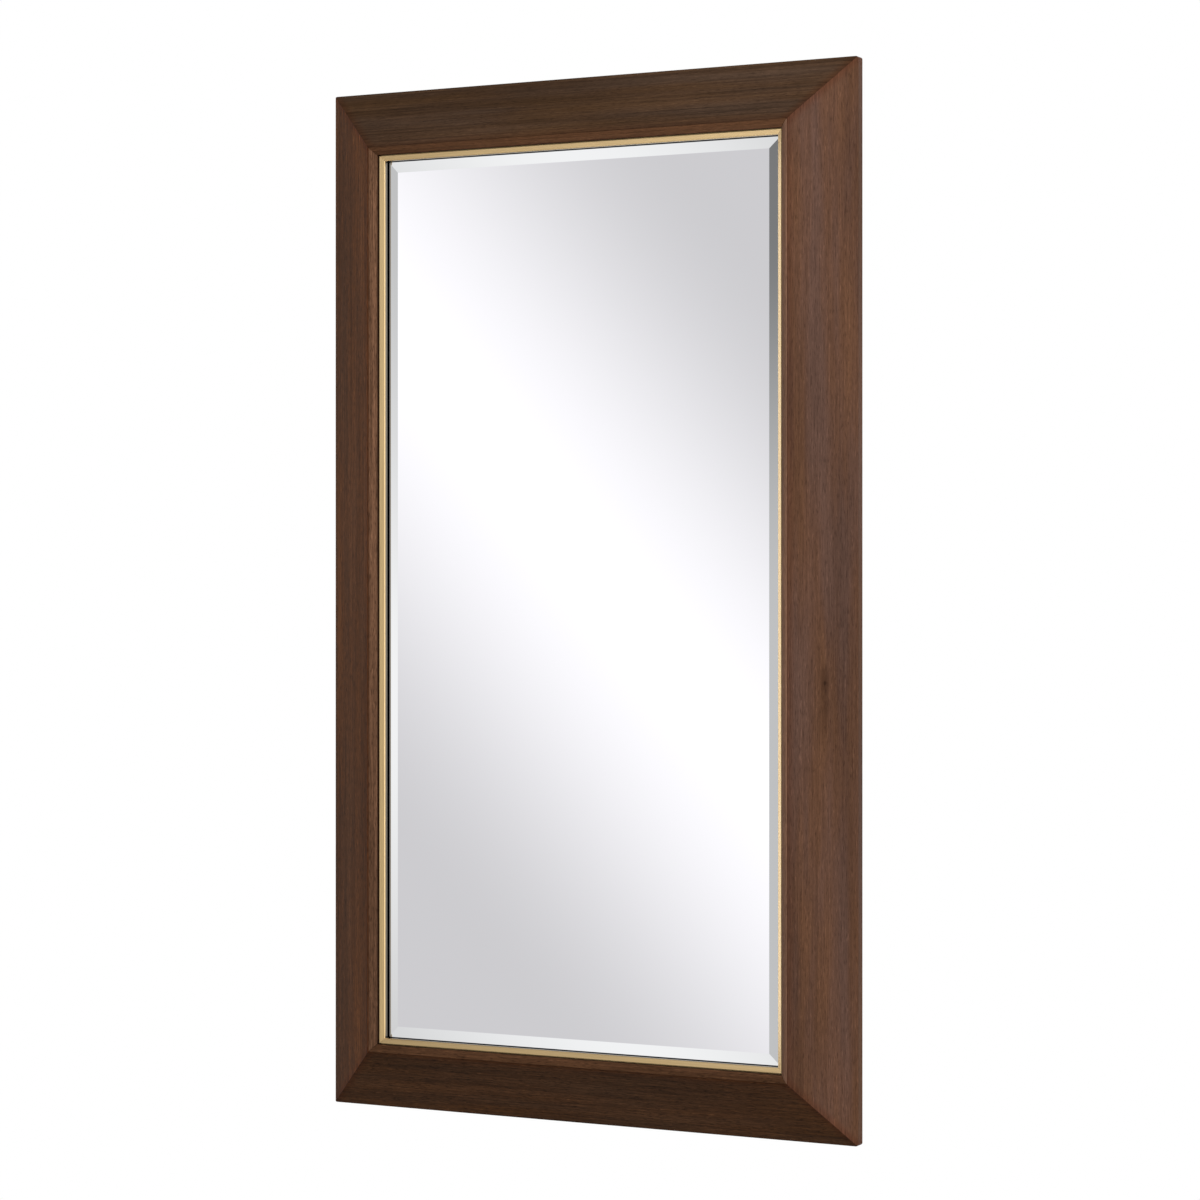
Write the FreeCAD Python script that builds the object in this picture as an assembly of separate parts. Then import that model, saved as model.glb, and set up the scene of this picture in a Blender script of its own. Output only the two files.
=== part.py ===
# Rectangular wall mirror: a mitred hardwood frame that slopes back to thin outer edges, a brass-coloured
# slip round the sight edge, a bevelled mirror plate, its backing, and the hardware that hangs it.
# Millimetres. X runs right as the viewer sees it, Z runs up and the mirror faces -Y. The origin is the
# middle of the wall plane, which the four bumpers touch.
# "Inset" is measured inward from the frame's outer edge, "depth" forward from the wooden back.
import FreeCAD, Part
import math
import os

from FreeCAD import Vector

# Frame outline
OUTER_WIDTH = 686.0
OUTER_HEIGHT = 1219.0
CORNER_ROUND = 3.5

# Moulding across its face
FACE_WIDTH = 70.0
LIP_WIDTH = 9.1
SIDE_THICKNESS = 13.5
SIDE_ROUND = 2.5
BACK_ROUND = 0.8
CREST_ROUND = 1.2
QUIRK_WIDTH = 1.6
QUIRK_DEPTH = 0.6
LIP_FALL = 6.2
LIP_CROWN = 1.3
LIP_CROWN_ROUND = 6.0
LIP_START_ROUND = 0.6
LIP_EDGE_ROUND = 0.7
LIP_THICKNESS = 4.7

# Slip, the brass-coloured inner moulding that holds the plate
SLIP_REVEAL = 7.0
SLIP_TUCK = 7.8
SLIP_LEG = 6.7
SLIP_FALL = 3.8
SLIP_STEP = 3.2
SLIP_NOSE_ROUND = 1.5
SLIP_TOP_ROUND = 0.5
SLIP_SHADOW_WIDTH = 3.0
SLIP_SHADOW_HEIGHT = 3.1
SLIP_SIDE_GAP = 0.3
SLIP_TOP_GAP = 1.0
SLIP_SEAT_GAP = 0.2

# Mirror plate and what lies behind it
GLASS_THICKNESS = 5.0
BEVEL_WIDTH = 19.0
GLASS_EDGE_THICKNESS = 2.5
GLASS_EDGE_GAP = 2.9
GLASS_SEAT_GAP = 0.15
NOSE_RISE = 7.0
PAD_THICKNESS = 2.0
PAD_GAP = 0.3
BOARD_THICKNESS = 6.0
BOARD_LEDGE = 13.0
BOARD_GAP = 0.6
BOARD_RECESS = 20.0
BLOCK_LENGTH = 60.0
BLOCK_THICKNESS = 2.2
BLOCK_INSET = 110.0

# Mitre biscuits, in slots a little larger than they are
BISCUIT_LENGTH = 56.0
BISCUIT_WIDTH = 23.0
BISCUIT_TIP = 6.0
BISCUIT_THICKNESS = 4.0
BISCUIT_INSET = 32.0
BISCUIT_DEPTH = 8.0
BISCUIT_FACE_GAP = 0.1
BISCUIT_END_GAP = 0.6

# Countersunk screws; flat sides stand for their round section and that of their holes
SCREW_DIAMETER = 3.5
SCREW_HEAD_DIAMETER = 7.0
SCREW_POINT = 4.0
SCREW_POINT_DIAMETER = 0.8
SCREW_GAP = 0.1
SCREW_HOLE_SPARE = 0.5
SCREW_SIDES = 10
BOARD_SCREW_LENGTH = 16.0
PLATE_SCREW_LENGTH = 16.0
HANGER_SCREW_LENGTH = 20.0
BOARD_SCREWS_ACROSS = 2
BOARD_SCREWS_UP = 4

# Steel corner plates across the backs of the mitres
PLATE_LEG = 75.0
PLATE_WIDTH = 16.0
PLATE_THICKNESS = 2.0
PLATE_ROUND = 4.0
PLATE_BUMPER_GAP = 5.5
PLATE_SCREW_END = 10.0
PLATE_SCREW_PITCH = 28.0
PLATE_SCREWS_EACH_LEG = 2

# Ring hangers on the backs of the stiles; the rings' round wire has flat sides too
HANGER_DROP = 300.0
STRAP_WIDTH = 18.0
STRAP_THICKNESS = 1.2
STRAP_LENGTH = 44.0
STRAP_ROUND = 6.0
STRAP_EYE_SWEEP = 285.0
STRAP_SCREW_FIRST = 11.5
STRAP_SCREW_PITCH = 23.0
RING_WIRE = 3.0
RING_GAP = 0.3
RING_SIDE_GAP = 1.0
RING_CORNER = 4.0
RING_LEG = 4.0
RING_SIDES = 12
RING_BEND_STEP = 15.0

# Rubber bumpers, which hold the hangers' eyes clear of the wall
BUMPER_DIAMETER = 19.0
BUMPER_INSET = 15.0
WALL_GAP = 0.4

# Room that a cutting tool has outside the piece it cuts
TOOL_MARGIN = 5.0

# Insets, from the outer edge inward
SIGHT = FACE_WIDTH + LIP_WIDTH
SLIP_OUTER = SIGHT - SLIP_TUCK
RABBET = SLIP_OUTER - SLIP_SIDE_GAP
LEDGE = RABBET - BOARD_LEDGE
LEG_INNER = SLIP_OUTER + SLIP_LEG
GLASS_EDGE = LEG_INNER + GLASS_EDGE_GAP
NOSE = SIGHT + SLIP_REVEAL
FOOT = NOSE - SLIP_SHADOW_WIDTH

# Depths, from the wooden back forward
BOARD_FRONT = BOARD_RECESS + BOARD_THICKNESS
GLASS_BACK = BOARD_FRONT + PAD_THICKNESS
GLASS_FRONT = GLASS_BACK + GLASS_THICKNESS
NOSE_DEPTH = GLASS_FRONT + NOSE_RISE
SLIP_TOP = NOSE_DEPTH + SLIP_FALL
FLANGE_TOP = SLIP_TOP - SLIP_STEP
SHELF = FLANGE_TOP + SLIP_SEAT_GAP
LIP_EDGE = SHELF + LIP_THICKNESS
CREST = LIP_EDGE + LIP_FALL

# Hanger and ring, out from the wooden back towards the wall
EYE_INNER = RING_WIRE / 2 + RING_GAP
EYE_OUTER = EYE_INNER + STRAP_THICKNESS
RING_AXIS = STRAP_THICKNESS + EYE_INNER
RING_BAR = STRAP_WIDTH + 2 * RING_SIDE_GAP
STAND_OFF = RING_AXIS + EYE_OUTER + WALL_GAP

HANGER_INSET = LEDGE / 2
RING_HEIGHT = OUTER_HEIGHT / 2 - HANGER_DROP

RIGHT = Vector(1, 0, 0)
UP = Vector(0, 0, 1)
TO_WALL = Vector(0, 1, 0)
ORIGIN = Vector(0, 0, 0)

CORNERS = {
    "top_left": (-1, 1),
    "top_right": (1, 1),
    "bottom_left": (-1, -1),
    "bottom_right": (1, -1),
}
SIDES = {"left": -1, "right": 1}


def place(across, depth, up):
    """A point at a depth in front of the wooden back; a negative depth lies behind it."""
    return Vector(across, -STAND_OFF - depth, up)


def bevel_depth(inset):
    """Depth of the plate's bevelled front face at an inset."""
    fall = (GLASS_THICKNESS - GLASS_EDGE_THICKNESS) / BEVEL_WIDTH
    return GLASS_FRONT - fall * (GLASS_EDGE + BEVEL_WIDTH - inset)


def eased_wire(corners):
    """A closed wire through (point, radius) corners, with each corner rounded by its radius."""
    stops = []
    count = len(corners)
    for index, (point, radius) in enumerate(corners):
        back = (corners[index - 1][0] - point).normalize()
        ahead = (corners[(index + 1) % count][0] - point).normalize()
        half_angle = back.getAngle(ahead) / 2
        bisector = (back + ahead).normalize()
        reach = radius / math.tan(half_angle)
        nearest = radius / math.sin(half_angle) - radius
        stops.append((point + back * reach, point + bisector * nearest, point + ahead * reach, radius))
    edges = []
    for index, (start, middle, end, radius) in enumerate(stops):
        if radius > 0:
            edges.append(Part.Arc(start, middle, end).toShape())
        edges.append(Part.LineSegment(end, stops[(index + 1) % count][0]).toShape())
    return Part.Wire(edges)


def slab(corners, back, front):
    """A plate with an (across, up, radius) outline, between two depths."""
    outline = eased_wire([(place(across, back, up), radius) for across, up, radius in corners])
    return Part.Face(outline).extrude(place(0, front, 0) - place(0, back, 0))


def rectangle(half_width, half_height, radius=0.0):
    """Corners of a centred rectangle, for slab."""
    return [(x * half_width, z * half_height, radius) for x, z in ((-1, -1), (1, -1), (1, 1), (-1, 1))]


def mitred_bar(section, half_length, half_across, quarter_turns):
    """A straight moulding of (inset, depth, radius) corners, sawn at 45 degrees at both ends.

    It is made as the top side of the rectangle, then turned clockwise as the viewer sees it.
    """
    corners = [(place(-half_length, depth, half_across - inset), radius) for inset, depth, radius in section]
    stock = Part.Face(eased_wire(corners)).extrude(Vector(2 * half_length, 0, 0))
    outside = -TOOL_MARGIN
    inside = max(inset for inset, depth, radius in section) + TOOL_MARGIN
    ends = ((-1, outside), (1, outside), (1, inside), (-1, inside))
    saw_cut = [(end * (half_length - inset), half_across - inset, 0) for end, inset in ends]
    bar = stock.common(slab(saw_cut, -STAND_OFF, CREST + TOOL_MARGIN))
    bar.rotate(ORIGIN, TO_WALL, 90 * quarter_turns)
    return bar


def frame_of(section, names):
    """Four mitred bars round the outline, by name: top, right, bottom, left."""
    half_width = OUTER_WIDTH / 2
    half_height = OUTER_HEIGHT / 2
    bars = {}
    for quarter_turns, name in enumerate(names):
        upright = quarter_turns % 2
        half_length = half_height if upright else half_width
        half_across = half_width if upright else half_height
        bars[name] = mitred_bar(section, half_length, half_across, quarter_turns)
    return bars


def make_wood():
    """Rails and stiles: thin at the outer side, sloping up to a quirk, then a crowned lip and the rabbets."""
    crown_inset = FACE_WIDTH + LIP_WIDTH / 2
    crown_depth = CREST - LIP_FALL / 2 + LIP_CROWN
    section = [
        (0, 0, BACK_ROUND),
        (0, SIDE_THICKNESS, SIDE_ROUND),
        (FACE_WIDTH - QUIRK_WIDTH / 2, CREST, CREST_ROUND),
        (FACE_WIDTH, CREST - QUIRK_DEPTH, 0),
        (FACE_WIDTH + QUIRK_WIDTH / 2, CREST, LIP_START_ROUND),
        (crown_inset, crown_depth, LIP_CROWN_ROUND),
        (SIGHT, LIP_EDGE, LIP_EDGE_ROUND),
        (SIGHT, SHELF, 0),
        (RABBET, SHELF, 0),
        (RABBET, BOARD_FRONT, 0),
        (LEDGE, BOARD_FRONT, 0),
        (LEDGE, 0, 0),
    ]
    bars = frame_of(section, ("top_rail", "right_stile", "bottom_rail", "left_stile"))
    outline = rectangle(OUTER_WIDTH / 2, OUTER_HEIGHT / 2, CORNER_ROUND)
    sanded = slab(outline, -TOOL_MARGIN, CREST + TOOL_MARGIN)
    return {name: bar.common(sanded) for name, bar in bars.items()}


def make_slips():
    """The slip sits under the wooden lip; its leg and foot make the rebate that the plate lies in."""
    foot_depth = bevel_depth(FOOT) + GLASS_SEAT_GAP
    shadow_top = bevel_depth(NOSE) + SLIP_SHADOW_HEIGHT
    section = [
        (SLIP_OUTER, BOARD_FRONT, 0),
        (SLIP_OUTER, FLANGE_TOP, 0),
        (SIGHT + SLIP_TOP_GAP, FLANGE_TOP, 0),
        (SIGHT + SLIP_TOP_GAP, SLIP_TOP, SLIP_TOP_ROUND),
        (NOSE, NOSE_DEPTH, SLIP_NOSE_ROUND),
        (NOSE, shadow_top, 0),
        (FOOT, shadow_top, 0),
        (FOOT, foot_depth, 0),
        (LEG_INNER, foot_depth, 0),
        (LEG_INNER, BOARD_FRONT, 0),
    ]
    return frame_of(section, ("slip_top", "slip_right", "slip_bottom", "slip_left"))


def make_plate():
    """The mirror plate: a flat field, lofted down to a thinner edge for the bevel."""
    half_width = OUTER_WIDTH / 2 - GLASS_EDGE
    half_height = OUTER_HEIGHT / 2 - GLASS_EDGE
    edge_depth = GLASS_BACK + GLASS_EDGE_THICKNESS
    base = slab(rectangle(half_width, half_height), GLASS_BACK, edge_depth)
    rims = []
    for inset, depth in ((0, edge_depth), (BEVEL_WIDTH, GLASS_FRONT)):
        corners = rectangle(half_width - inset, half_height - inset)
        rims.append(eased_wire([(place(across, depth, up), radius) for across, up, radius in corners]))
    return base.fuse(Part.makeLoft(rims, True, True)).removeSplitter()


def edge_block(side_across, side_up, offset):
    """A rubber block between the plate's edge and the slip's leg, offset along that side."""
    half_width = OUTER_WIDTH / 2 - GLASS_EDGE
    half_height = OUTER_HEIGHT / 2 - GLASS_EDGE
    corners = []
    for along, out in ((-1, 0), (1, 0), (1, 1), (-1, 1)):
        run = offset + along * BLOCK_LENGTH / 2
        across = side_across * (half_width + out * GLASS_EDGE_GAP) if side_across else run
        up = side_up * (half_height + out * GLASS_EDGE_GAP) if side_up else run
        corners.append((across, up, 0))
    return slab(corners, GLASS_BACK, GLASS_BACK + BLOCK_THICKNESS)


def make_blocks():
    """Two setting blocks under the plate, and spacers along its top and its two sides."""
    across = OUTER_WIDTH / 2 - GLASS_EDGE - BLOCK_INSET
    up = OUTER_HEIGHT / 2 - GLASS_EDGE - BLOCK_INSET
    setting = [edge_block(0, -1, end * across) for end in (-1, 1)]
    spacers = [edge_block(0, 1, end * across) for end in (-1, 1)]
    for side in (-1, 1):
        spacers += [edge_block(side, 0, end * up) for end in (-1, 1)]
    return {"setting_blocks": setting, "edge_spacers": spacers}


def biscuit(corner, end_gap, face_gap):
    """A lens-shaped biscuit across one mitre; the gaps enlarge it into its slot."""
    half_length = BISCUIT_LENGTH / 2 + end_gap
    half_width = BISCUIT_WIDTH / 2 + end_gap
    half_tip = BISCUIT_TIP / 2 + end_gap
    back = BISCUIT_DEPTH - face_gap
    front = BISCUIT_DEPTH + BISCUIT_THICKNESS + face_gap
    ends = [place(x * half_length, back, z * half_tip) for x, z in ((-1, 1), (1, 1), (1, -1), (-1, -1))]
    crowns = [place(0, back, half_width), place(0, back, -half_width)]
    outline = Part.Wire([
        Part.Arc(ends[0], crowns[0], ends[1]).toShape(),
        Part.LineSegment(ends[1], ends[2]).toShape(),
        Part.Arc(ends[2], crowns[1], ends[3]).toShape(),
        Part.LineSegment(ends[3], ends[0]).toShape(),
    ])
    lens = Part.Face(outline).extrude(place(0, front, 0) - place(0, back, 0))
    side_across, side_up = corner
    lens.rotate(ORIGIN, TO_WALL, -45 * side_across * side_up)
    across = side_across * (OUTER_WIDTH / 2 - BISCUIT_INSET)
    up = side_up * (OUTER_HEIGHT / 2 - BISCUIT_INSET)
    lens.translate(Vector(across, 0, up))
    return lens


def many_sided(sides, radius, centre, axis_from, axis_to):
    """A closed outline of equal sides about centre, in the plane of the two axes; its first point ends it too."""
    points = []
    for number in range(sides):
        angle = 2 * math.pi * number / sides
        points.append(centre + axis_from * (radius * math.cos(angle)) + axis_to * (radius * math.sin(angle)))
    return points + points[:1]


def skinned(outlines, caps):
    """A solid with flat sides from each outline to the next, closed by the outlines in caps."""
    polygons = list(caps)
    for near, far in zip(outlines, outlines[1:]):
        for side in range(len(near) - 1):
            polygons.append([near[side], near[side + 1], far[side + 1], far[side], near[side]])
    shell = Part.makeShell([Part.Face(Part.makePolygon(polygon)) for polygon in polygons])
    shell.sewShape()
    return Part.makeSolid(shell)


def turned(section, seat):
    """A solid through (radius, depth past the seat) stations about the line through seat along Y."""
    outlines = []
    for radius, depth in section:
        outlines.append(many_sided(SCREW_SIDES, radius, seat - TO_WALL * depth, RIGHT, UP))
    return skinned(outlines, (outlines[0], outlines[-1]))


def screw(seat, length):
    """A countersunk wood screw driven forward from seat, with its head flush there."""
    shank = SCREW_DIAMETER / 2
    head = SCREW_HEAD_DIAMETER / 2
    return turned([
        (head, 0),
        (shank, head - shank),
        (shank, length - SCREW_POINT),
        (SCREW_POINT_DIAMETER / 2, length),
    ], seat)


def screw_hole(seat, length):
    """The hole for such a screw, open towards the wall and a little larger all round."""
    shank = SCREW_DIAMETER / 2 + SCREW_GAP
    head = SCREW_HEAD_DIAMETER / 2 + SCREW_GAP
    return turned([
        (head, -STAND_OFF),
        (head, 0),
        (shank, head - shank),
        (shank, length + SCREW_HOLE_SPARE),
    ], seat)


def board_screw_seats():
    """Evenly spaced places round the backing board, over the middle of the ledge."""
    half_across = OUTER_WIDTH / 2 - LEDGE - BOARD_LEDGE / 2
    half_up = OUTER_HEIGHT / 2 - LEDGE - BOARD_LEDGE / 2
    seats = []
    for side in (-1, 1):
        for number in range(BOARD_SCREWS_ACROSS):
            share = (2 * number + 1) / BOARD_SCREWS_ACROSS - 1
            seats.append(place(share * half_across, BOARD_RECESS, side * half_up))
        for number in range(BOARD_SCREWS_UP):
            share = (2 * number + 1) / BOARD_SCREWS_UP - 1
            seats.append(place(side * half_across, BOARD_RECESS, share * half_up))
    return seats


def corner_plate(corner):
    """A flat steel L across one mitre, and the seats of its screws."""
    side_across, side_up = corner
    outer = BUMPER_INSET + BUMPER_DIAMETER / 2 + PLATE_BUMPER_GAP
    inner = outer + PLATE_WIDTH
    end = outer + PLATE_LEG
    middle = outer + PLATE_WIDTH / 2

    def at(inset_across, inset_up):
        return side_across * (OUTER_WIDTH / 2 - inset_across), side_up * (OUTER_HEIGHT / 2 - inset_up)

    insets = [(outer, outer), (end, outer), (end, inner), (inner, inner), (inner, end), (outer, end)]
    corners = [(*at(*inset), PLATE_ROUND if end in inset else 0) for inset in insets]
    seats = []
    for number in range(PLATE_SCREWS_EACH_LEG):
        along = end - PLATE_SCREW_END - number * PLATE_SCREW_PITCH
        for across, up in (at(along, middle), at(middle, along)):
            seats.append(place(across, -PLATE_THICKNESS, up))
    return slab(corners, -PLATE_THICKNESS, 0), seats


def hanger_centre(side):
    """The point of the ring's axis in the middle of its hanger."""
    return place(side * (OUTER_WIDTH / 2 - HANGER_INSET), -RING_AXIS, RING_HEIGHT)


def hanger_strap(side):
    """A steel strap, rolled into an eye at its top end, and the seats of its two screws."""
    axis = hanger_centre(side)

    def at(out, up):
        return axis + Vector(-STRAP_WIDTH / 2, out, up)

    def rim(radius, sweep):
        angle = math.radians(sweep)
        return at(-radius * math.cos(angle), radius * math.sin(angle))

    back = -RING_AXIS
    face = STRAP_THICKNESS - RING_AXIS
    half_sweep = STRAP_EYE_SWEEP / 2
    outline = Part.Wire([
        Part.LineSegment(at(back, -STRAP_LENGTH), at(back, 0)).toShape(),
        Part.Arc(rim(EYE_OUTER, 0), rim(EYE_OUTER, half_sweep), rim(EYE_OUTER, STRAP_EYE_SWEEP)).toShape(),
        Part.LineSegment(rim(EYE_OUTER, STRAP_EYE_SWEEP), rim(EYE_INNER, STRAP_EYE_SWEEP)).toShape(),
        Part.Arc(rim(EYE_INNER, STRAP_EYE_SWEEP), rim(EYE_INNER, half_sweep), rim(EYE_INNER, 0)).toShape(),
        Part.LineSegment(at(face, 0), at(face, -STRAP_LENGTH)).toShape(),
        Part.LineSegment(at(face, -STRAP_LENGTH), at(back, -STRAP_LENGTH)).toShape(),
    ])
    rolled = Part.Face(outline).extrude(Vector(STRAP_WIDTH, 0, 0))
    left = axis.x - STRAP_WIDTH / 2
    right = axis.x + STRAP_WIDTH / 2
    foot = axis.z - STRAP_LENGTH
    top = axis.z + EYE_OUTER + TOOL_MARGIN
    blank = [(left, foot, STRAP_ROUND), (right, foot, STRAP_ROUND), (right, top, 0), (left, top, 0)]
    strap = rolled.common(slab(blank, -STAND_OFF, 0))
    drops = (STRAP_SCREW_FIRST, STRAP_SCREW_FIRST + STRAP_SCREW_PITCH)
    seats = [place(axis.x, -STRAP_THICKNESS, axis.z - drop) for drop in drops]
    return strap, seats


def ring(side):
    """A D-shaped ring of bent wire that hangs from the strap's eye, with its straight bar in the eye."""
    axis = hanger_centre(side)
    half_bar = RING_BAR / 2
    bends = [
        (half_bar, -RING_CORNER, RING_CORNER, 90, 0),
        (0, -RING_CORNER - RING_LEG, half_bar + RING_CORNER, 0, -180),
        (-half_bar, -RING_CORNER, RING_CORNER, 180, 90),
    ]
    sections = []
    for across, up, radius, first, last in bends:
        steps = math.ceil(abs(last - first) / RING_BEND_STEP)
        for step in range(steps + 1):
            angle = math.radians(first + (last - first) * step / steps)
            outward = RIGHT * math.cos(angle) + UP * math.sin(angle)
            centre = axis + Vector(across, 0, up) + outward * radius
            sections.append(many_sided(RING_SIDES, RING_WIRE / 2, centre, outward, TO_WALL))
    return skinned(sections + sections[:1], ())


def bumper(corner):
    """A round rubber bumper near one corner, standing on the wood and touching the wall."""
    side_across, side_up = corner
    across = side_across * (OUTER_WIDTH / 2 - BUMPER_INSET)
    up = side_up * (OUTER_HEIGHT / 2 - BUMPER_INSET)
    return Part.makeCylinder(BUMPER_DIAMETER / 2, STAND_OFF, place(across, 0, up), TO_WALL)


def build():
    """Every piece by its node name, with each screw's hole cut in what it passes through."""
    wood = make_wood()
    pieces = make_slips()
    pieces["mirror_plate"] = make_plate()
    for name, blocks in make_blocks().items():
        pieces[name] = Part.makeCompound(blocks)
    pad = rectangle(OUTER_WIDTH / 2 - LEG_INNER - PAD_GAP, OUTER_HEIGHT / 2 - LEG_INNER - PAD_GAP)
    pieces["backing_pad"] = slab(pad, BOARD_FRONT, GLASS_BACK)
    board = rectangle(OUTER_WIDTH / 2 - LEDGE - BOARD_GAP, OUTER_HEIGHT / 2 - LEDGE - BOARD_GAP)
    board_seats = board_screw_seats()
    board_holes = [screw_hole(seat, BOARD_SCREW_LENGTH) for seat in board_seats]
    pieces["backing_board"] = slab(board, BOARD_RECESS, BOARD_FRONT).cut(board_holes)
    pieces["board_screws"] = Part.makeCompound([screw(seat, BOARD_SCREW_LENGTH) for seat in board_seats])

    wood_cuts = list(board_holes)
    plate_screws = []
    for name, corner in CORNERS.items():
        pieces["biscuit_" + name] = biscuit(corner, 0, 0)
        wood_cuts.append(biscuit(corner, BISCUIT_END_GAP, BISCUIT_FACE_GAP))
        plate, seats = corner_plate(corner)
        holes = [screw_hole(seat, PLATE_SCREW_LENGTH) for seat in seats]
        pieces["corner_plate_" + name] = plate.cut(holes)
        plate_screws += [screw(seat, PLATE_SCREW_LENGTH) for seat in seats]
        wood_cuts += holes
        pieces["bumper_" + name] = bumper(corner)
    pieces["corner_plate_screws"] = Part.makeCompound(plate_screws)

    hanger_screws = []
    for name, side in SIDES.items():
        strap, seats = hanger_strap(side)
        holes = [screw_hole(seat, HANGER_SCREW_LENGTH) for seat in seats]
        pieces[name + "_hanger_strap"] = strap.cut(holes)
        hanger_screws += [screw(seat, HANGER_SCREW_LENGTH) for seat in seats]
        wood_cuts += holes
        pieces[name + "_ring"] = ring(side)
    pieces["hanger_screws"] = Part.makeCompound(hanger_screws)

    for name, bar in wood.items():
        pieces[name] = bar.cut(wood_cuts)
    return pieces


os.makedirs("parts", exist_ok=True)
for node, shape in build().items():
    shape.exportStep("parts/" + node + ".step")
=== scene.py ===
"""Finishes and stage of a wall mirror: walnut frame, brass-coloured slip, bevelled plate and its back."""
import math

import bmesh
import bpy
from bpy.props import FloatProperty, FloatVectorProperty, PointerProperty
from bpy.types import Operator, Panel, PropertyGroup
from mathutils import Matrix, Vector


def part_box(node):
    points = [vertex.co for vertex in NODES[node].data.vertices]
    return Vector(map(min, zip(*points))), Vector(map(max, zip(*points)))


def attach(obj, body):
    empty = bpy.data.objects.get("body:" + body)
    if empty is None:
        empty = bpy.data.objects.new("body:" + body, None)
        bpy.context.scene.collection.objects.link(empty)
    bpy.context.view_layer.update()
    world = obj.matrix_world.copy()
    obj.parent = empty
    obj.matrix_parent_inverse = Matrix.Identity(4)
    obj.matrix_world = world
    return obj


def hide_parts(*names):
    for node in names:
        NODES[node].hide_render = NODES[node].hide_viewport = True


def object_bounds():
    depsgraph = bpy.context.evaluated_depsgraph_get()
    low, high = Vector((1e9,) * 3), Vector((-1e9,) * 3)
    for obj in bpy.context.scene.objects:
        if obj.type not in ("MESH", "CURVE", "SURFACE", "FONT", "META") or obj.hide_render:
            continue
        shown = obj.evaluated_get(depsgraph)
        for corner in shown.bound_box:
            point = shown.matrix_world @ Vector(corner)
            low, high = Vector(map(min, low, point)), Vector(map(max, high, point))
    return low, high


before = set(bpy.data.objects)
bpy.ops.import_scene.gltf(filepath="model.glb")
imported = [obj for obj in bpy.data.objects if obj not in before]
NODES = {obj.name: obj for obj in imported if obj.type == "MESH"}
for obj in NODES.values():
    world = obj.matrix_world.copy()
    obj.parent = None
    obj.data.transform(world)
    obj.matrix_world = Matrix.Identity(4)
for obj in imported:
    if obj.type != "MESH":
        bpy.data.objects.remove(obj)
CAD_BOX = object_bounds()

bl_info = {
    "name": "Rectangular Wall Mirror",
    "version": (1, 0, 0),
    "blender": (4, 5, 0),
    "location": "3D View > Sidebar > Wall Mirror",
    "description": "Dresses the pieces of a framed wall mirror and sets its stage",
    "category": "Object",
}

MM = 0.001

# Sockets of a Mix node: the factor, then the two values and the result for numbers and for colours
MIX_FACTOR = 0
MIX_NUMBERS = (2, 3)
MIX_COLOURS = (6, 7)
MIXED_COLOUR = 2

CORNERS = ("top_left", "top_right", "bottom_left", "bottom_right")
SIDES = ("left", "right")

# Faces round the rings' wire and round a bumper
WIRE_SIDES = 24
BUMPER_SIDES = 64

# Half sizes of the frame's outline, from the CAD pieces
HALF_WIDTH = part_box("right_stile")[1].x
HALF_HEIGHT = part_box("top_rail")[1].z


def linear(code):
    """A colour written as sRGB hex, in the linear values that shaders take."""
    shares = [int(code[place:place + 2], 16) / 255 for place in (1, 3, 5)]
    return [share / 12.92 if share <= 0.04045 else ((share + 0.055) / 1.055) ** 2.4 for share in shares]


def opaque(colour):
    """A colour property as the four values of a colour socket."""
    return (*colour, 1.0)


def toned(colour, share):
    """A colour made darker or lighter by a share."""
    return [min(1.0, part * share) for part in colour]


def add(tree, kind, inputs=None, **settings):
    """Adds a node. An input given as a socket is linked, and any other value is set on its own socket."""
    made = tree.nodes.new(kind)
    for name, value in settings.items():
        setattr(made, name, value)
    for key, value in (inputs or {}).items():
        if isinstance(value, bpy.types.NodeSocket):
            tree.links.new(value, made.inputs[key])
        else:
            made.inputs[key].default_value = value
    return made


def new_material(name):
    """An empty material with a shader and its output, and the tree that they stand in."""
    material = bpy.data.materials.new(name)
    material.use_nodes = True
    tree = material.node_tree
    tree.nodes.clear()
    shader = add(tree, "ShaderNodeBsdfPrincipled")
    add(tree, "ShaderNodeOutputMaterial", {"Surface": shader.outputs["BSDF"]})
    return material, tree, shader


def grain(tree, place, sizes, detail):
    """A grain whose features have the given sizes along X, Y and Z."""
    fineness = [1 / size for size in sizes]
    scaled = add(tree, "ShaderNodeVectorMath", {0: place, 1: fineness}, operation="MULTIPLY")
    made = add(tree, "ShaderNodeTexNoise", {"Vector": scaled.outputs[0], "Scale": 1.0, "Detail": detail})
    return made.outputs["Fac"]


def layered(tree, colour, layers):
    """Lays tones over a colour, each where its driver goes from first to last, up to its strength."""
    for driver, first, last, tone, strength in layers:
        mask = add(tree, "ShaderNodeMapRange", {
            "Value": driver, "From Min": first, "From Max": last, "To Max": strength,
        }, interpolation_type="SMOOTHSTEP")
        mixed = add(tree, "ShaderNodeMix", {
            MIX_FACTOR: mask.outputs[0], MIX_COLOURS[0]: colour, MIX_COLOURS[1]: opaque(tone),
        }, data_type="RGBA")
        colour = mixed.outputs[MIXED_COLOUR]
    return colour


def shaded(tree, colour, layers):
    """Scales a colour by a share that goes from low to high as its driver goes from first to last."""
    for driver, first, last, low, high in layers:
        share = add(tree, "ShaderNodeMapRange", {
            "Value": driver, "From Min": first, "From Max": last, "To Min": low, "To Max": high,
        }, interpolation_type="SMOOTHSTEP")
        colour = add(tree, "ShaderNodeVectorMath", {
            0: colour, "Scale": share.outputs[0],
        }, operation="SCALE").outputs[0]
    return colour


def dress(node, material):
    """Gives a CAD piece its finish."""
    mesh = NODES[node].data
    mesh.materials.clear()
    mesh.materials.append(material)


def colour_property(name, description, code):
    return FloatVectorProperty(
        name=name, description=description, subtype="COLOR", size=3, min=0, max=1, default=linear(code)
    )


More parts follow.
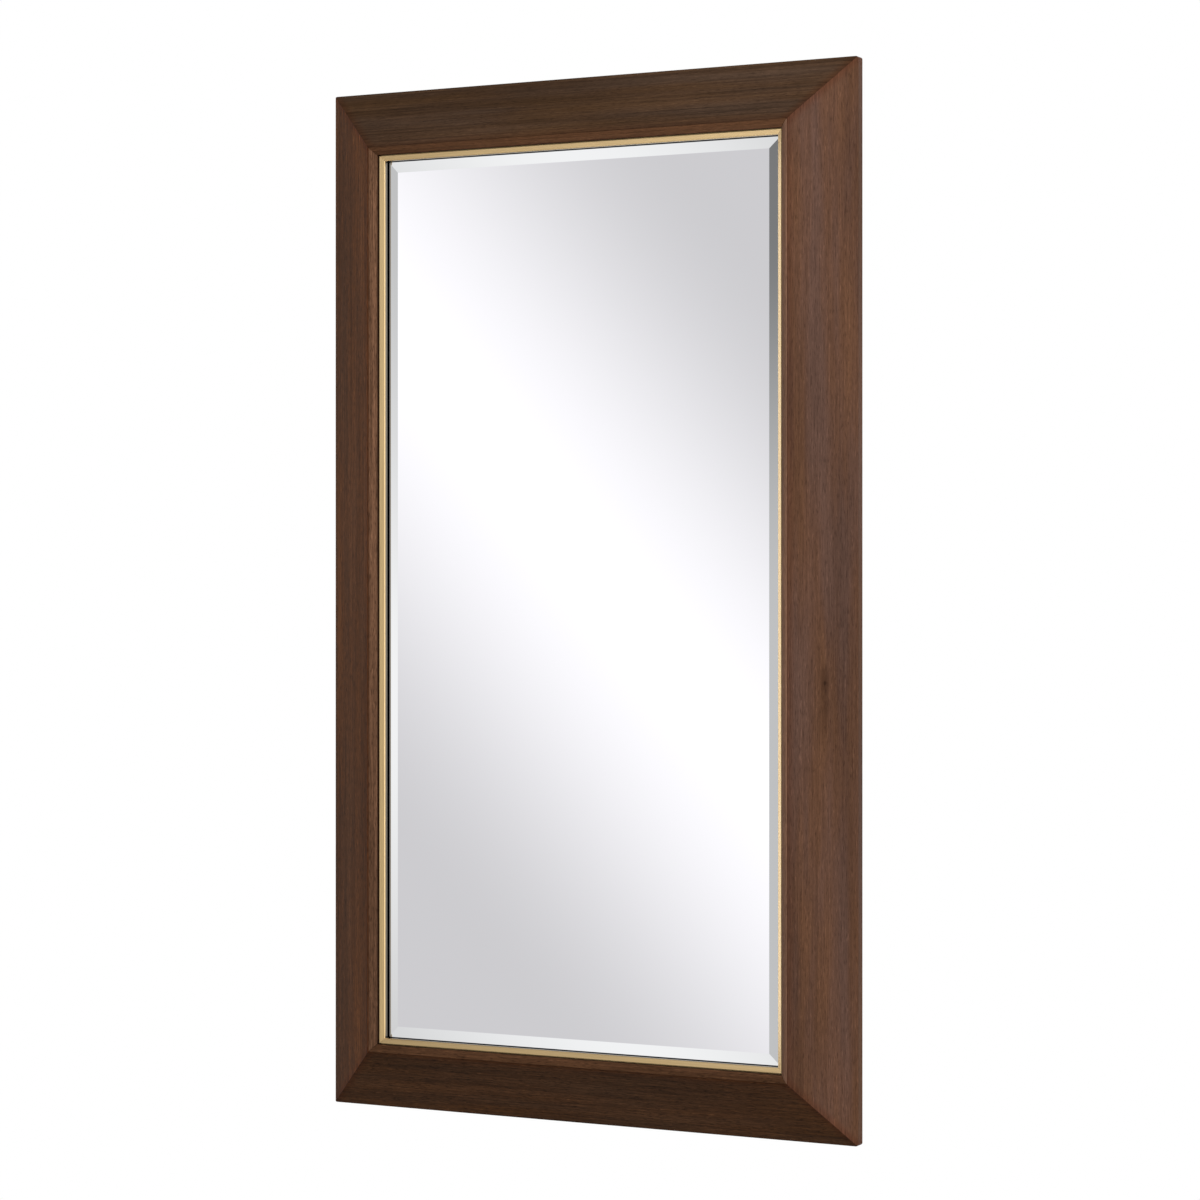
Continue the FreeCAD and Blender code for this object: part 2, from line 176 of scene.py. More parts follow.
def length_property(name, description, millimetres):
    return FloatProperty(
        name=name, description=description, unit="LENGTH", precision=5, default=millimetres * MM
    )


def power_property(name, description, watts):
    return FloatProperty(name=name, description=description, unit="POWER", default=watts)


class WoodFinish(PropertyGroup):
    """Colours and grain of the walnut mouldings."""

    heart: colour_property("Heartwood", "Colour of the wood between its streaks", "#5b3f31")
    orange: colour_property("Warm ribbon", "Colour of the warmer ribbons", "#60402b")
    grey: colour_property("Cool ribbon", "Colour of the cooler ribbons", "#594239")
    # The lip is paler partly for its own wood and partly as painted sheen
    lip: colour_property("Lip", "Colour of the narrow lip beside the slip", "#6b4b3b")
    stain: colour_property("Stain", "Colour of the stain near the quirk and the mitres", "#55301f")
    # The dark colour marks real joints and the pin knot, and is also painted shade in the quirk and along
    # the lip's edge beside the slip
    dark: colour_property("Dark stain", "Colour of the joints, the pin knot and the lip's edge", "#1c0f08")
    ribbon_width: length_property("Ribbon width", "Width of the broad ribbons across the grain", 14)
    growth_width: length_property("Growth ring", "Distance between growth lines on the face", 2.6)
    pore_length: length_property("Pore length", "Length of a pore along the grain", 8)
    face_width: length_property("Face width", "Width of the sloping face, out to the quirk", 70)
    lip_width: length_property("Lip width", "Width of the lip, from the quirk to its edge", 9.1)
    # The lip's arris gets a painted highlight of this half width, strongest on the right stile
    arris_highlight_width: length_property("Lip arris", "Half width of the rubbed line where the lip starts", 0.8)


class SlipFinish(PropertyGroup):
    """Colour and brushing of the slip."""

    brass: colour_property("Brass", "Colour of the anodised layer", "#cbaa6d")
    deep_brass: colour_property("Deep brass", "Colour of the darker brush lines", "#b89656")
    # From the nose edge in, the nose's side takes this dull colour as painted shade; on the level slips the
    # rebate's black reaches up to the nose edge instead, as painted shade too
    nose: colour_property("Nose", "Colour of the nose's side, which isn't brushed", "#6a5b40")
    rebate: colour_property("Rebate", "Colour of the paint in the rebate, beside the glass", "#0d0a07")
    nose_depth: length_property("Nose edge", "How far in front of the wall the brushing ends", 45)
    rebate_depth: length_property("Rebate edge", "How far in front of the wall the paint ends", 40.9)
    brush_width: length_property("Brush line", "Width of a brush line, drawn coarse enough to show", 0.7)
    brush_length: length_property("Brush length", "Length of a brush line", 90)


class PlateFinish(PropertyGroup):
    """The silvered plate."""

    silver: colour_property("Silver", "Colour of the silvering seen through clear glass", "#fcfbff")
    bevel: colour_property("Bevel", "Colour of the silvering seen through the bevel", "#ebeced")
    # The border is a painted reflection: the silver's colour darkened near the frame for the dark rebate
    border: colour_property("Border", "Colour of the rebate that the silver shows", "#15120d")
    rebate_reflection_inset: length_property("Border inset", "Distance from the frame's outline to the border", 86.9)
    bend: FloatProperty(
        name="Bend",
        description="How far the bevelled glass turns the reflection, against a bare bevel",
        default=0.52,
    )


class BackFinish(PropertyGroup):
    """Colours and hardware sizes at the back."""

    board: colour_property("Fibreboard", "Colour of the backing board", "#9c7b57")
    grey_board: colour_property("Grey board", "Colour of the sheet behind the plate", "#a19b91")
    beech: colour_property("Beech", "Colour of the biscuits", "#c9a273")
    zinc: colour_property("Zinc", "Colour of the zinc-plated steel", "#c3c6c8")
    rubber: colour_property("Rubber", "Colour of the bumpers and blocks", "#1d1d1e")
    head_radius: length_property("Screw head", "Radius of a screw's head", 3.35)
    crest_radius: length_property("Thread crest", "Radius over a screw's thread", 1.7)
    core_radius: length_property("Thread core", "Radius between the turns of a thread", 1.25)
    thread_pitch: length_property("Thread pitch", "Distance between turns of a thread", 1.6)
    ring_wire: length_property("Ring wire", "Diameter of the rings' wire", 3)
    ring_bar: length_property("Ring bar", "Length of a ring's straight bar", 20)
    ring_corner: length_property("Ring corner", "Bend radius at the ends of the bar", 4)
    ring_leg: length_property("Ring leg", "Straight length between a corner and the bow", 4)
    bumper_round: length_property("Bumper edge", "Rounding of a bumper's edge", 1.6)


class StageSetup(PropertyGroup):
    """Camera, floor and light."""

    camera_place: FloatVectorProperty(
        name="Camera", description="Where the camera stands", subtype="TRANSLATION", size=3,
        default=(1.773, -3.409, 0.026),
    )
    camera_turn: FloatProperty(
        name="Camera turn", description="How far the camera looks to the left of straight on",
        subtype="ANGLE", default=math.radians(27.37),
    )
    lens: FloatProperty(name="Lens", description="Focal length in millimetres", unit="CAMERA", default=98.5)
    camera_shift: FloatProperty(name="Shift", description="Upward shift of the view", default=-0.0184)
    floor_drop: length_property("Floor drop", "How far the floor lies below the frame", 380)
    floor_radius: length_property("Floor radius", "Radius of the round floor", 1150)
    floor: colour_property("Floor", "Colour of the floor", "#f0f0f0")
    sky_light: FloatProperty(
        name="Surround light", description="Light from all round on matt surfaces", default=0.2
    )
    right_power: power_property("Right lamp", "Power of the right lamp", 57)
    left_power: power_property("Left lamp", "Power of the left lamp", 26)
    top_power: power_property("Top lamp", "Power of the top lamp", 10)
    back_power: power_property("Back lamp", "Power of the lamp behind", 60)


def walnut(name, finish, board):
    """Walnut, planed, stained and rubbed with satin lacquer.

    Straight brown grain with soft ribbons, fine growth lines and dark pores, a slight shimmer across it,
    and stain that stays darker and redder in the quirk and at the mitres. Painted light is laid in too:
    the boards' tones darken the rails as painted shade, the lip is paler partly as painted sheen, the
    quirk's dark line is partly painted shade, a painted highlight runs along the lip's arris, and painted
    shade lines the lip's edge beside the slip.
    """
    material, tree, shader = new_material(name)
    place = add(tree, "ShaderNodeTexCoord").outputs["Object"]
    split = add(tree, "ShaderNodeSeparateXYZ", {0: place})
    upright = board["upright"]
    across = split.outputs["X" if upright else "Z"]
    along = split.outputs["Z" if upright else "X"]
    lengthwise = add(tree, "ShaderNodeCombineXYZ", {"X": across, "Y": split.outputs["Y"], "Z": along})
    moved = add(tree, "ShaderNodeVectorMath", {
        0: lengthwise.outputs[0], 1: board["start"],
    }, operation="ADD")

    # Width, length and detail of each pattern; fibres and pores are about twice as coarse as real, to show
    patterns = {
        "drift": (60 * MM, 500 * MM, 1.0),
        "warmth": (24 * MM, 300 * MM, 2.0),
        "ribbon": (finish.ribbon_width, 500 * MM, 2.0),
        "growth": (finish.growth_width, 330 * MM, 2.0),
        "fibre": (1.1 * MM, 40 * MM, 2.0),
        "pore": (0.8 * MM, finish.pore_length, 1.0),
        "fleck": (1.0 * MM, 10 * MM, 2.0),
    }
    shade = {
        key: grain(tree, moved.outputs[0], (width, width, length), detail)
        for key, (width, length, detail) in patterns.items()
    }

    # Distances from the outer edge, for the quirk, the lip and the mitres
    insets = []
    for half, run in zip(board["halves"], (across, along)):
        centred = add(tree, "ShaderNodeMath", {0: run}, operation="ABSOLUTE")
        inset = add(tree, "ShaderNodeMath", {0: half, 1: centred.outputs[0]}, operation="SUBTRACT")
        insets.append(inset.outputs[0])
    from_edge, from_end = insets
    past_quirk = add(tree, "ShaderNodeMath", {
        0: from_edge, 1: finish.face_width,
    }, operation="SUBTRACT").outputs[0]
    past_arris = add(tree, "ShaderNodeMath", {
        0: past_quirk, 1: finish.arris_highlight_width,
    }, operation="SUBTRACT").outputs[0]
    off_mitre = add(tree, "ShaderNodeMath", {0: from_end, 1: from_edge}, operation="SUBTRACT").outputs[0]
    off_quirk = add(tree, "ShaderNodeMath", {0: past_quirk}, operation="ABSOLUTE").outputs[0]
    off_arris_highlight = add(tree, "ShaderNodeMath", {0: past_arris}, operation="ABSOLUTE").outputs[0]

    # Soft ribbons in the board's own tone; that tone is partly painted shade, darkest on the bottom rail
    colour = layered(tree, opaque(finish.heart), [
        (shade["warmth"], 0.45, 0.7, finish.orange, 0.6),
        (shade["warmth"], 0.55, 0.3, finish.grey, 0.6),
    ])
    toned_and_shaded_board = add(tree, "ShaderNodeMix", {
        MIX_FACTOR: 1.0, MIX_COLOURS[0]: colour, MIX_COLOURS[1]: opaque(board["tone"]),
    }, data_type="RGBA", blend_type="MULTIPLY")
    # The lip's colour and the stain take a tone per board that is partly painted light: the right stile's
    # lip is lighter as painted sheen, and the rails are darker as painted shade
    lip = [part * share for part, share in zip(finish.lip, board["lip_tone_and_light"])]
    stain = [part * share for part, share in zip(finish.stain, board["tone"])]
    colour = layered(tree, toned_and_shaded_board.outputs[MIXED_COLOUR], [
        (past_quirk, -10 * MM, 0, stain, 0.4),
        (off_mitre, 15 * MM, 0, stain, 0.6),
        (past_quirk, -0.3 * MM, 0.5 * MM, lip, 0.9),
    ])

    # Fine grain: what drives it, where it starts and ends, and the shares of light at both ends
    streak, speckle = board["grain"]
    colour = shaded(tree, colour, [
        (shade["drift"], 0.3, 0.7, 0.86, 1.14),
        (shade["ribbon"], 0.3, 0.7, 1 - 0.08 * streak, 1 + 0.08 * streak),
        (shade["growth"], 0.3, 0.6, 1 - 0.13 * streak, 1.03),
        (shade["fibre"], 0.3, 0.7, 1 - 0.16 * speckle, 1 + 0.16 * speckle),
        (shade["pore"], 0.52, 0.72, 1.0, 1 - 0.4 * speckle),
        (shade["fleck"], 0.55, 0.8, 1.0, 1 + 0.6 * speckle),
        # A painted highlight along the lip's arris, strongest on the right stile
        (off_arris_highlight, finish.arris_highlight_width, 0, 1.0, board["arris"]),
    ])

    # Dark lines: in the quirk, partly stain and partly painted shade; at the mitre joint; and along the
    # lip's edge beside the slip, as painted shade
    lip_edge = finish.lip_width
    marks = [
        (off_quirk, 0.9 * MM, 0, finish.dark, board["quirk"]),
        (off_mitre, 0.7 * MM, 0.2 * MM, finish.dark, 0.4),
        (past_quirk, lip_edge - 0.25 * MM, lip_edge - 0.1 * MM, finish.dark, 0.85),
    ]
    if "knot" in board:
        # Rise above the knot's middle, width, length and strength of its core, its halo and its streak
        for rise, width, length, strength in (
            (0, 2.6 * MM, 3.4 * MM, 0.5),
            (4 * MM, 6 * MM, 22 * MM, 0.25),
            (-25 * MM, 4 * MM, 60 * MM, 0.3),
        ):
            middle = Vector(board["knot"]) + Vector((0, 0, rise))
            away = add(tree, "ShaderNodeVectorMath", {0: place, 1: middle}, operation="SUBTRACT")
            scaled = add(tree, "ShaderNodeVectorMath", {
                0: away.outputs[0], 1: (1 / width, 0, 1 / length),
            }, operation="MULTIPLY")
            reach = add(tree, "ShaderNodeVectorMath", {0: scaled.outputs[0]}, operation="LENGTH")
            marks.append((reach.outputs["Value"], 1.0, 0.3, finish.dark, strength))
    tree.links.new(layered(tree, colour, marks), shader.inputs["Base Color"])

    rough = add(tree, "ShaderNodeMapRange", {"Value": shade["fibre"], "To Min": 0.36, "To Max": 0.5})
    tree.links.new(rough.outputs[0], shader.inputs["Roughness"])
    shader.inputs["IOR"].default_value = 1.5
    shader.inputs["Specular IOR Level"].default_value = 0.03
    relief = add(tree, "ShaderNodeMath", {0: shade["fibre"], 1: shade["pore"]}, operation="SUBTRACT")
    bump = add(tree, "ShaderNodeBump", {
        "Height": relief.outputs[0], "Strength": 0.25, "Distance": 0.15 * MM,
    })
    tree.links.new(bump.outputs[0], shader.inputs["Normal"])
    return material


def brushed_brass(name, finish, upright):
    """Aluminium, drawn, brushed along its length, anodised brass-yellow and lacquered.

    A soft satin gleam with faint lengthwise lines, paler at a slant, and a nose whose side is painted dull
    and dark, as painted shade. The rebate is painted black, which gives a dark line beside the glass; on
    the level slips that black also covers the nose's side, as painted shade.
    """
    material, tree, shader = new_material(name)
    place = add(tree, "ShaderNodeTexCoord").outputs["Object"]
    line = finish.brush_width
    run = finish.brush_length
    brush = grain(tree, place, (line, line, run) if upright else (run, line, line), 2.0)
    depth = add(tree, "ShaderNodeSeparateXYZ", {0: place}).outputs["Y"]
    # The nose's side is painted dark as painted shade; on the level slips the black starts at the nose
    # edge, so there it is painted shade as well
    nose = -finish.nose_depth
    paint = -finish.rebate_depth if upright else nose
    paint_end = paint + 0.1 * MM
    colour = layered(tree, opaque(finish.brass), [
        (brush, 0.55, 0.3, finish.deep_brass, 0.7),
        (depth, nose - 0.3 * MM, nose + 0.5 * MM, finish.nose, 1.0),
        (depth, paint, paint_end, finish.rebate, 1.0),
    ])
    tree.links.new(colour, shader.inputs["Base Color"])
    metal = add(tree, "ShaderNodeMapRange", {
        "Value": depth, "From Min": paint, "From Max": paint_end, "To Min": 1.0, "To Max": 0.0,
    })
    tree.links.new(metal.outputs[0], shader.inputs["Metallic"])
    rough = add(tree, "ShaderNodeMapRange", {"Value": brush, "To Min": 0.24, "To Max": 0.38})
    tree.links.new(rough.outputs[0], shader.inputs["Roughness"])
    shader.inputs["Coat Weight"].default_value = 1.0
    shader.inputs["Coat Roughness"].default_value = 0.2
    shader.inputs["Coat IOR"].default_value = 1.9
    bump = add(tree, "ShaderNodeBump", {"Height": brush, "Strength": 0.15, "Distance": 0.02 * MM})
    tree.links.new(bump.outputs[0], shader.inputs["Normal"])
    return material


def silvered_glass(name, finish):
    """Float glass, ground and polished to a bevel and silvered on its back.

    A clear, sharp reflection. The silver lies flat behind the glass, which turns the view in the bevel the
    other way than a bare slope would, so the normal there is tipped inward by the glass's bend. Close to
    the slip the silver's colour is painted dark, a painted reflection of the dark rebate seen through the
    glass's thickness, as a thin black line.
    """
    material, tree, shader = new_material(name)
    normal = add(tree, "ShaderNodeNewGeometry").outputs["Normal"]
    tip = (-finish.bend, 1, -finish.bend)
    tipped = add(tree, "ShaderNodeVectorMath", {0: normal, 1: tip}, operation="MULTIPLY")
    even = add(tree, "ShaderNodeVectorMath", {0: tipped.outputs[0]}, operation="NORMALIZE")
    tree.links.new(even.outputs[0], shader.inputs["Normal"])
    facing = add(tree, "ShaderNodeSeparateXYZ", {0: normal})
    place = add(tree, "ShaderNodeTexCoord").outputs["Object"]
    centred = add(tree, "ShaderNodeVectorMath", {0: place}, operation="ABSOLUTE")
    spread = add(tree, "ShaderNodeSeparateXYZ", {0: centred.outputs[0]})
    # The flat of the plate faces -Y squarely, and the bevel doesn't
    layers = [(facing.outputs["Y"], -0.999, -0.993, finish.bevel, 1.0)]
    # A painted reflection of the dark rebate: a band of the silver's colour near the frame is darkened
    softness = 0.2 * MM
    for half, run in ((HALF_WIDTH, "X"), (HALF_HEIGHT, "Z")):
        edge = half - finish.rebate_reflection_inset
        layers.append((spread.outputs[run], edge - softness, edge + softness, finish.border, 1.0))
    colour = layered(tree, opaque(finish.silver), layers)
    tree.links.new(colour, shader.inputs["Base Color"])
    shader.inputs["Metallic"].default_value = 1.0
    shader.inputs["Roughness"].default_value = 0.0
    return material


def speckled(name, colour, fleck, sizes, rough, metallic=0.0, relief=0.1 * MM):
    """A surface with fine flecks of another tone, of the given sizes along X, Y and Z."""
    material, tree, shader = new_material(name)
    place = add(tree, "ShaderNodeTexCoord").outputs["Object"]
    flecks = grain(tree, place, sizes, 3.0)
    mixed = layered(tree, opaque(colour), [(flecks, 0.4, 0.7, fleck, 1.0)])
    tree.links.new(mixed, shader.inputs["Base Color"])
    shader.inputs["Metallic"].default_value = metallic
    spread = 0.08
    shade = add(tree, "ShaderNodeMapRange", {
        "Value": flecks, "To Min": rough - spread, "To Max": rough + spread,
    })
    tree.links.new(shade.outputs[0], shader.inputs["Roughness"])
    bump = add(tree, "ShaderNodeBump", {"Height": flecks, "Strength": 0.3, "Distance": relief})
    tree.links.new(bump.outputs[0], shader.inputs["Normal"])
    return material


def zinc_plate(finish):
    """Steel, zinc-plated in a bath: a cool grey with a faint spangle and a soft gleam."""
    name = "steel_zinc_plated"
    spangle = (3 * MM,) * 3
    return bpy.data.materials.get(name) or speckled(
        name, finish.zinc, toned(finish.zinc, 0.8), spangle, 0.32, metallic=1.0, relief=0.02 * MM
    )


def moulded_rubber(finish):
    """Rubber, moulded: black and matt with a fine bloom."""
    name = "rubber_moulded"
    bloom = (0.8 * MM,) * 3
    return bpy.data.materials.get(name) or speckled(
        name, finish.rubber, toned(finish.rubber, 1.6), bloom, 0.7
    )


def join_rows(shape, rows, closed=False):
    """Makes faces between rings of points, and returns the rings' vertices."""
    made = [[shape.verts.new(point) for point in row] for row in rows]
    pairs = list(zip(made, made[1:]))
    if closed:
        pairs.append((made[-1], made[0]))
    for near, far in pairs:
        for index in range(len(near)):
            after = (index + 1) % len(near)
            shape.faces.new((near[index], near[after], far[after], far[index]))
    return made


def make_piece(name, shape, material, node, body):
    """Turns a mesh into a piece that stands for a CAD node and moves with its body."""
    bmesh.ops.recalc_face_normals(shape, faces=shape.faces)
    mesh = bpy.data.meshes.new(name)
    shape.to_mesh(mesh)
    shape.free()
    mesh.polygons.foreach_set("use_smooth", [True] * len(mesh.polygons))
    mesh.set_sharp_from_angle(angle=math.radians(35))
    mesh.materials.append(material)
    piece = bpy.data.objects.new(name, mesh)
    bpy.context.scene.collection.objects.link(piece)
    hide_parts(node)
    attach(piece, body)


class WALLMIRROR_OT_frame(Operator):
    """Finish the rails and stiles as walnut"""

    bl_idname = "wall_mirror.frame"
    bl_label = "Walnut frame"

    def execute(self, context):
        finish = context.scene.mirror_wood
        rail = {"upright": False, "halves": (HALF_HEIGHT, HALF_WIDTH)}
        stile = {"upright": True, "halves": (HALF_WIDTH, HALF_HEIGHT)}
        knot = (HALF_WIDTH - 32.6 * MM, 0, -91.5 * MM)
        # Where each board's figure starts, the strength of its streaks, specks and lines, and its tones.
        # The quirk line is partly painted shade and the arris is a painted highlight. The tones are partly
        # painted light: the rails are darker as painted shade, and the right stile's lip is lighter as
        # painted sheen.
        boards = {
            "top_rail": {
                **rail, "start": (0.3, 0.0, 1.7), "grain": (2.0, 0.85), "quirk": 0.3, "arris": 1.0,
                "tone": (0.57, 0.65, 0.59), "lip_tone_and_light": (0.69, 0.65, 0.5),
            },
            "right_stile": {
                **stile, "start": (1.1, 0.2, 0.4), "grain": (0.6, 0.85), "quirk": 0.05, "arris": 1.2,
                "tone": (0.86, 0.9, 0.93), "lip_tone_and_light": (1.15, 1.27, 1.28), "knot": knot,
            },
            "bottom_rail": {
                **rail, "start": (2.3, 0.1, 3.1), "grain": (1.6, 1.4), "quirk": 0.4, "arris": 1.0,
                "tone": (0.43, 0.39, 0.26), "lip_tone_and_light": (0.48, 0.46, 0.36),
            },
            "left_stile": {
                **stile, "start": (4.7, 0.4, 2.2), "grain": (2.0, 1.5), "quirk": 0.3, "arris": 1.0,
                "tone": (0.77, 0.63, 0.41), "lip_tone_and_light": (0.86, 0.91, 0.82),
            },
        }
        for node, board in boards.items():
            dress(node, walnut("walnut_lacquered_" + node, finish, board))
        return {"FINISHED"}


class WALLMIRROR_OT_slips(Operator):
    """Finish the slips as brushed, brass-coloured aluminium"""

    bl_idname = "wall_mirror.slips"
    bl_label = "Brass-coloured slips"

    def execute(self, context):
        finish = context.scene.mirror_slip
        # The level slips also differ from the upright ones in their painted shade: black over the nose's
        # side
        level = brushed_brass("aluminium_anodised_level", finish, False)
        upright = brushed_brass("aluminium_anodised_upright", finish, True)
        for side, material in (("top", level), ("bottom", level), ("left", upright), ("right", upright)):
            dress("slip_" + side, material)
        return {"FINISHED"}


class WALLMIRROR_OT_plate(Operator):
    """Finish the plate as silvered glass"""

    bl_idname = "wall_mirror.plate"
    bl_label = "Mirror plate"

    def execute(self, context):
        dress("mirror_plate", silvered_glass("glass_silvered", context.scene.mirror_plate))
        return {"FINISHED"}


class WALLMIRROR_OT_back(Operator):
    """Finish the board, sheet, biscuits, blocks and flat steel at the back"""

    bl_idname = "wall_mirror.back"
    bl_label = "Back"

    def execute(self, context):
        finish = context.scene.mirror_back
        # Pressed fibreboard: tan and dull, with short dark fibres that lie flat
        fibres = (5 * MM, 2 * MM, 2 * MM)
        board = speckled("fibreboard_pressed", finish.board, toned(finish.board, 0.8), fibres, 0.75)
        # Rolled grey board: matt, with soft specks of pulp
        specks = (2 * MM,) * 3
        sheet = speckled("grey_board_rolled", finish.grey_board, toned(finish.grey_board, 0.8), specks, 0.9)
        # Stamped beech: pale and dry, with fine short lines
        lines = (1 * MM, 1 * MM, 8 * MM)
        beech = speckled("beech_stamped", finish.beech, toned(finish.beech, 0.75), lines, 0.8)
        dress("backing_board", board)
        dress("backing_pad", sheet)
        for corner in CORNERS:
            dress("biscuit_" + corner, beech)
            dress("corner_plate_" + corner, zinc_plate(finish))
        for side in SIDES:
            dress(side + "_hanger_strap", zinc_plate(finish))
        for node in ("setting_blocks", "edge_spacers"):
            dress(node, moulded_rubber(finish))
        return {"FINISHED"}


def screw_seats(node):
    """Middles of the screw heads of a CAD node, found from its hindmost points, and the screws' length."""
    level = 0.01 * MM
    across_head = 8 * MM
    low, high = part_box(node)
    item = NODES[node]
    heads = []
    for vertex in item.data.vertices:
        point = item.matrix_world @ vertex.co
        if high.y - point.y > level:
            continue
        near = [head for head in heads if (head[0] - point).length < across_head]
        if near:
            near[0].append(point)
        else:
            heads.append([point])
    seats = []
    for head in heads:
        seats.append(Vector([(min(run) + max(run)) / 2 for run in zip(*head)]))
    return seats, high.y - low.y


def add_screw(shape, seat, length, finish, turn):
    """A countersunk wood screw with a cross recess, driven forward from seat."""
    reach = 1.9 * MM
    half_arm = 0.5 * MM
    recess_depth = 1.4 * MM
    taper = 0.45
    cross = []
    for quarter in range(4):
        angle = quarter * math.pi / 2 + turn
        cosine = math.cos(angle)
        sine = math.sin(angle)
        for x, z in ((reach, -half_arm), (reach, half_arm), (half_arm, half_arm)):
            cross.append((x * cosine - z * sine, x * sine + z * cosine))
    corners = [math.atan2(z, x) for x, z in cross]
    angles = []
    for angle, after in zip(corners, corners[1:] + corners[:1]):
        angles += [angle, angle + (after - angle) % math.tau / 2]

    head = finish.head_radius
    core = finish.core_radius
    ridge = finish.crest_radius - core
    pitch = finish.thread_pitch
    point_length = 4 * MM
    blunt_share = 0.05
    half_ridge = 0.3
    step = pitch / 4
    depths = [0, head - core]
    depths += [head - core + step * number for number in range(1, int((length - head + core) / step))]
    depths.append(length)
    rows = []
    for depth in depths:
        row = []
        for angle in angles:
            phase = (depth / pitch - angle / math.tau) % 1
            radius = core + ridge * max(0, 1 - abs(phase - 0.5) / half_ridge)
            radius *= min(1, (length - depth) / point_length + blunt_share)
            if depth == 0:
                radius = head
            row.append(seat + Vector((radius * math.cos(angle), -depth, radius * math.sin(angle))))
        rows.append(row)
    made = join_rows(shape, rows)
    shape.faces.new(made[-1])
    walls = join_rows(shape, [
        [seat + Vector((x * share, -depth, z * share)) for x, z in cross]
        for depth, share in ((0, 1), (recess_depth, taper))
    ])
    shape.faces.new(walls[-1])
    rim = made[0]
    for index, corner in enumerate(walls[0]):
        after = walls[0][(index + 1) % len(cross)]
        outer = [rim[(2 * index + number) % len(rim)] for number in (2, 1, 0)]
        shape.faces.new((corner, after, *outer))


class WALLMIRROR_OT_screws(Operator):
    """Make the screws of the board, the corner plates and the hangers"""

    bl_idname = "wall_mirror.screws"
    bl_label = "Screws"

    def execute(self, context):
        finish = context.scene.mirror_back
        for node in ("board_screws", "corner_plate_screws", "hanger_screws"):
            shape = bmesh.new()
            seats, length = screw_seats(node)
            for number, seat in enumerate(seats):
                add_screw(shape, seat, length, finish, number * 0.7)
            make_piece(node + "_threaded", shape, zinc_plate(finish), node, "frame")
        return {"FINISHED"}


class WALLMIRROR_OT_rings(Operator):
    """Make the two rings of bent wire"""

    bl_idname = "wall_mirror.rings"
    bl_label = "Hanging rings"

    def execute(self, context):
        finish = context.scene.mirror_back
        radius = finish.ring_wire / 2
        corner = finish.ring_corner
        half_bar = finish.ring_bar / 2
        bow = half_bar + corner
        drop = corner + finish.ring_leg
        back = Vector((0, 1, 0))
        # Centre across and up from the bar, radius, first and last angle and steps of each bend
        bends = (
            (half_bar, -corner, corner, 90, 0, 8),
            (0, -drop, bow, 0, -180, 40),
            (-half_bar, -corner, corner, 180, 90, 8),
        )
        turns = [math.tau * number / WIRE_SIDES for number in range(WIRE_SIDES)]
        for side in SIDES:
            node = side + "_ring"
            low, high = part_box(node)
            axis = (low + high) / 2 + Vector((0, 0, (drop + bow) / 2))
            rows = []
            for across, rise, bend, first, last, steps in bends:
                for step in range(steps + 1):
                    angle = math.radians(first + (last - first) * step / steps)
                    outward = Vector((math.cos(angle), 0, math.sin(angle)))
                    centre = axis + Vector((across, 0, rise)) + outward * bend
                    rows.append([
                        centre + outward * (radius * math.cos(turn)) + back * (radius * math.sin(turn))
                        for turn in turns
                    ])
            shape = bmesh.new()
            join_rows(shape, rows, closed=True)
            make_piece(node + "_wire", shape, zinc_plate(finish), node, node)
        return {"FINISHED"}


class WALLMIRROR_OT_bumpers(Operator):
    """Make the four rubber bumpers"""

    bl_idname = "wall_mirror.bumpers"
    bl_label = "Bumpers"

    def execute(self, context):
        finish = context.scene.mirror_back
        edge = finish.bumper_round
        edge_steps = 8
        flange_reach = 0.5 * MM
        flange_height = 0.8 * MM
        flange_slope = 0.2 * MM
        dimple_depth = 0.8 * MM
        turns = [math.tau * number / BUMPER_SIDES for number in range(BUMPER_SIDES)]
        for corner in CORNERS:
            node = "bumper_" + corner
            low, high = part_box(node)
            centre = (low + high) / 2
            radius = (high.x - low.x) / 2
            # A flange on the wood, a rounded body and a dimple in the face that touches the wall
            body = radius - flange_reach
            flange = low.y + flange_height
            profile = [(0.4 * radius, low.y), (radius, low.y), (radius, flange)]
            profile.append((body, flange + flange_slope))
            for step in range(edge_steps + 1):
                angle = math.radians(90 * step / edge_steps)
                reach = body - edge + edge * math.cos(angle)
                profile.append((reach, high.y - edge + edge * math.sin(angle)))
            profile += [(0.3 * radius, high.y), (0.24 * radius, high.y - dimple_depth)]
            rows = []
            for reach, depth in profile:
                rows.append([
                    Vector((centre.x + reach * math.cos(turn), depth, centre.z + reach * math.sin(turn)))
                    for turn in turns
                ])
            shape = bmesh.new()
            made = join_rows(shape, rows)
            shape.faces.new(made[0])
            shape.faces.new(made[-1])
            make_piece(node + "_moulded", shape, moulded_rubber(finish), node, "frame")
        return {"FINISHED"}


def direction(azimuth, elevation):
    """A unit vector; azimuth 0 looks out of the mirror's face and grows to the viewer's right."""
    turn = math.radians(azimuth)
    rise = math.radians(elevation)
    return Vector((math.sin(turn) * math.cos(rise), -math.cos(turn) * math.cos(rise), math.sin(rise)))


